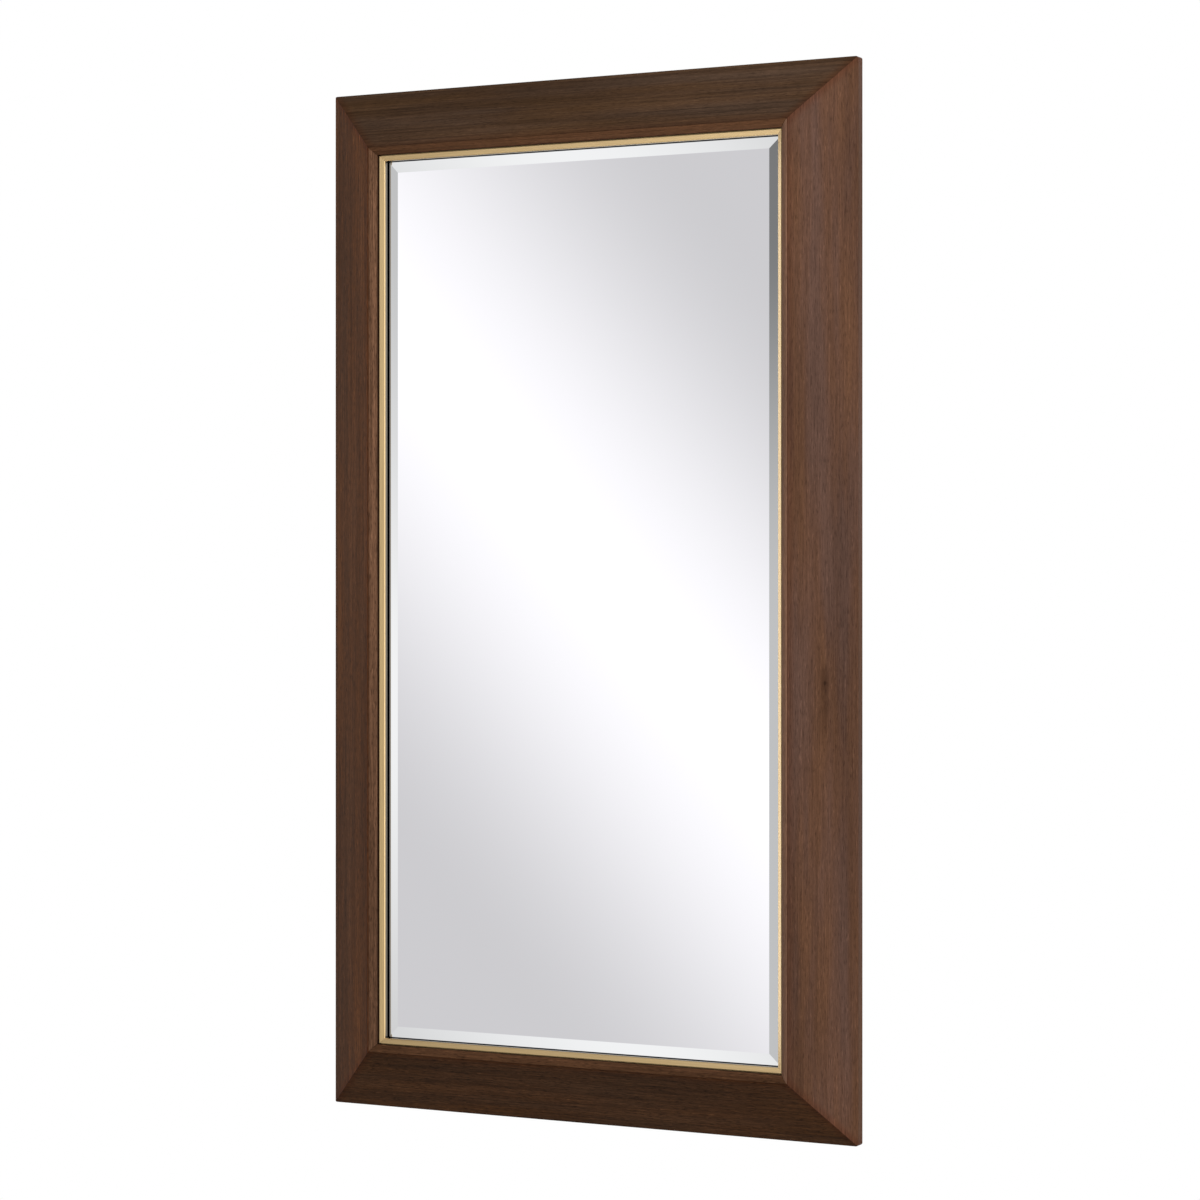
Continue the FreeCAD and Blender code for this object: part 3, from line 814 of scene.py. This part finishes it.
def surround(stage):
    """A white studio: plain white to the camera, and a tent of soft diagonal panels to glossy surfaces.

    Matt surfaces get an even light. One panel lies where the plate mirrors it towards the camera.
    """
    world = bpy.data.worlds.new("white_studio")
    world.use_nodes = True
    tree = world.node_tree
    tree.nodes.clear()
    turn = stage.camera_turn
    ahead = Vector((-math.sin(turn), -math.cos(turn), 0))
    beside = Vector((math.cos(turn), -math.sin(turn), 0))
    up = Vector((0, 0, 1))
    diagonal = beside * 0.773 + up * 0.635

    # How far a look goes along each axis; the strip lamps stand upright, so looks at them are flattened
    way = add(tree, "ShaderNodeTexCoord").outputs["Generated"]
    flat = add(tree, "ShaderNodeVectorMath", {0: way, 1: (1, 1, 0.2)}, operation="MULTIPLY")
    level = add(tree, "ShaderNodeVectorMath", {0: flat.outputs[0]}, operation="NORMALIZE").outputs[0]
    along = {}
    for name, look, axis in (
        ("ahead", way, ahead),
        ("beside", way, beside),
        ("up", way, up),
        ("diagonal", way, diagonal),
        ("right_strip", level, direction(78, 0)),
        ("left_strip", level, direction(-88, 0)),
    ):
        reach = add(tree, "ShaderNodeVectorMath", {0: look, 1: axis}, operation="DOT_PRODUCT")
        along[name] = reach.outputs["Value"]

    # Panels repeat, so that one lies in the middle of the plate straight on too; to the right they rise
    spacing = diagonal.dot(Vector((0, -1, 0)))
    lift = add(tree, "ShaderNodeMapRange", {
        "Value": along["beside"], "From Min": 0.058, "From Max": 0.072, "To Min": 0, "To Max": 0.035,
    }, interpolation_type="SMOOTHSTEP")
    lifted = add(tree, "ShaderNodeMath", {0: along["diagonal"], 1: lift.outputs[0]}, operation="SUBTRACT")
    off_panel = add(tree, "ShaderNodeMath", {0: lifted.outputs[0], 1: spacing / 2}, operation="PINGPONG")
    along["off_panel"] = off_panel.outputs[0]

    # What drives each share of light, where it starts and ends, and its values there; a strip lamp's glow
    # and core are given as angles from its middle
    share = {}
    for name, driver, first, last, low, high in (
        ("panel", "off_panel", 0, 0.1, 1.06, 0.625),
        ("past_left_end", "beside", -0.066, -0.08, 0, 1),
        ("in_front", "ahead", 0.9, 0.97, 0, 1),
        ("towards_top", "up", -0.05, 0.11, 0, 0.78),
        ("high", "up", 0.5, 0.62, 0, 1),
        ("high_light", "beside", -0.42, 0.18, 0.2, 1.55),
        ("low", "up", -0.5, -0.62, 0, 1),
        ("low_light", "beside", -0.42, 0.18, 0, 2.5),
        ("right_strip", "right_strip", math.cos(math.radians(32)), math.cos(math.radians(15)), 0, 1),
        ("left_strip", "left_strip", math.cos(math.radians(6)), math.cos(math.radians(2)), 0, 1),
    ):
        ramp = add(tree, "ShaderNodeMapRange", {
            "Value": along[driver], "From Min": first, "From Max": last, "To Min": low, "To Max": high,
        }, interpolation_type="SMOOTHSTEP")
        share[name] = ramp.outputs[0]

    # Beyond the left end of the panel it is darker towards the top
    shadow = share["past_left_end"]
    for name in ("in_front", "towards_top"):
        shadow = add(tree, "ShaderNodeMath", {0: shadow, 1: share[name]}, operation="MULTIPLY").outputs[0]

    # High and low it is darker to the left and brighter to the right, and the strip lamps outshine the rest
    gleam = share["panel"]
    for factor, light in (
        (shadow, 0.0),
        (share["high"], share["high_light"]),
        (share["low"], share["low_light"]),
        (share["right_strip"], 2.5),
        (share["left_strip"], 3.0),
    ):
        gleam = add(tree, "ShaderNodeMix", {
            MIX_FACTOR: factor, MIX_NUMBERS[0]: gleam, MIX_NUMBERS[1]: light,
        }).outputs[0]

    path = add(tree, "ShaderNodeLightPath")
    shiny = add(tree, "ShaderNodeMath", {
        0: path.outputs["Is Glossy Ray"], 1: path.outputs["Is Transmission Ray"],
    }, operation="MAXIMUM")
    on_object = add(tree, "ShaderNodeMix", {
        MIX_FACTOR: shiny.outputs[0], MIX_NUMBERS[0]: stage.sky_light, MIX_NUMBERS[1]: gleam,
    })
    strength = add(tree, "ShaderNodeMix", {
        MIX_FACTOR: path.outputs["Is Camera Ray"],
        MIX_NUMBERS[0]: on_object.outputs[0],
        MIX_NUMBERS[1]: 1.0,
    })
    background = add(tree, "ShaderNodeBackground", {"Color": (1, 1, 1, 1), "Strength": strength.outputs[0]})
    add(tree, "ShaderNodeOutputWorld", {"Surface": background.outputs[0]})
    return world


def painted_floor(stage):
    """A floor painted pale and matt, which fades out towards its rim."""
    material = speckled("floor_painted", stage.floor, toned(stage.floor, 0.97), (0.2,) * 3, 0.9)
    tree = material.node_tree
    place = add(tree, "ShaderNodeTexCoord").outputs["Object"]
    reach = add(tree, "ShaderNodeVectorMath", {0: place}, operation="LENGTH")
    fade = add(tree, "ShaderNodeMapRange", {
        "Value": reach.outputs["Value"], "From Min": stage.floor_radius / 2, "From Max": stage.floor_radius,
        "To Min": 1.0, "To Max": 0.0,
    }, interpolation_type="SMOOTHSTEP")
    tree.links.new(fade.outputs[0], tree.nodes["Principled BSDF"].inputs["Alpha"])
    return material


def lamp(name, way, distance, size, power):
    """A soft box that looks at the mirror's middle; glossy surfaces see the surround in its place."""
    light = bpy.data.lights.new(name, "AREA")
    light.shape = "RECTANGLE"
    light.size, light.size_y = size
    light.energy = power
    made = bpy.data.objects.new(name, light)
    made.location = way * distance
    made.rotation_euler = (-way).to_track_quat("-Z", "Y").to_euler()
    made.visible_glossy = False
    made.visible_camera = False
    bpy.context.scene.collection.objects.link(made)


class WALLMIRROR_OT_stage(Operator):
    """Set the floor, the light and the camera"""

    bl_idname = "wall_mirror.stage"
    bl_label = "Stage"

    def execute(self, context):
        scene = context.scene
        stage = scene.mirror_stage
        scene.view_settings.view_transform = "Standard"
        scene.world = surround(stage)

        mesh = bpy.data.meshes.new("studio_floor")
        shape = bmesh.new()
        bmesh.ops.create_circle(shape, cap_ends=True, segments=128, radius=stage.floor_radius)
        shape.to_mesh(mesh)
        shape.free()
        floor = bpy.data.objects.new("studio_floor", mesh)
        floor.location.z = CAD_BOX[0].z - stage.floor_drop
        mesh.materials.append(painted_floor(stage))
        scene.collection.objects.link(floor)

        # Azimuth and elevation in degrees, then distance, width and height in metres
        lamp("right_soft_box", direction(50, 12), 2.4, (0.8, 1.8), stage.right_power)
        lamp("left_soft_box", direction(-50, 12), 2.4, (0.8, 1.8), stage.left_power)
        lamp("top_soft_box", direction(0, 80), 2.4, (1.2, 1.2), stage.top_power)
        lamp("back_soft_box", direction(160, 30), 2.6, (1.2, 1.2), stage.back_power)

        camera = bpy.data.cameras.new("photo_camera")
        camera.lens = stage.lens
        camera.sensor_width = 36
        camera.shift_y = stage.camera_shift
        view = bpy.data.objects.new("photo_camera", camera)
        view.location = stage.camera_place
        view.rotation_euler = (math.pi / 2, 0, stage.camera_turn)
        scene.collection.objects.link(view)
        scene.camera = view
        return {"FINISHED"}


class WALLMIRROR_PT_pieces(Panel):
    """Lists the pieces and the stage"""

    bl_label = "Wall Mirror"
    bl_space_type = "VIEW_3D"
    bl_region_type = "UI"
    bl_category = "Wall Mirror"

    def draw(self, context):
        for operator in OPERATORS:
            self.layout.operator(operator.bl_idname)
        for name, group in GROUPS.items():
            box = self.layout.box()
            for prop in group.__annotations__:
                box.prop(getattr(context.scene, name), prop)


GROUPS = {
    "mirror_wood": WoodFinish,
    "mirror_slip": SlipFinish,
    "mirror_plate": PlateFinish,
    "mirror_back": BackFinish,
    "mirror_stage": StageSetup,
}
OPERATORS = (
    WALLMIRROR_OT_frame,
    WALLMIRROR_OT_slips,
    WALLMIRROR_OT_plate,
    WALLMIRROR_OT_back,
    WALLMIRROR_OT_screws,
    WALLMIRROR_OT_rings,
    WALLMIRROR_OT_bumpers,
    WALLMIRROR_OT_stage,
)


def register():
    for item in (*GROUPS.values(), *OPERATORS, WALLMIRROR_PT_pieces):
        bpy.utils.register_class(item)
    for name, group in GROUPS.items():
        setattr(bpy.types.Scene, name, PointerProperty(type=group))


def unregister():
    for name in GROUPS:
        delattr(bpy.types.Scene, name)
    for item in (WALLMIRROR_PT_pieces, *reversed(OPERATORS), *reversed(GROUPS.values())):
        bpy.utils.unregister_class(item)


def main():
    register()
    bpy.ops.wall_mirror.frame()
    bpy.ops.wall_mirror.slips()
    bpy.ops.wall_mirror.plate()
    bpy.ops.wall_mirror.back()
    bpy.ops.wall_mirror.screws()
    bpy.ops.wall_mirror.rings()
    bpy.ops.wall_mirror.bumpers()
    bpy.ops.wall_mirror.stage()


if __name__ == "__main__":
    main()
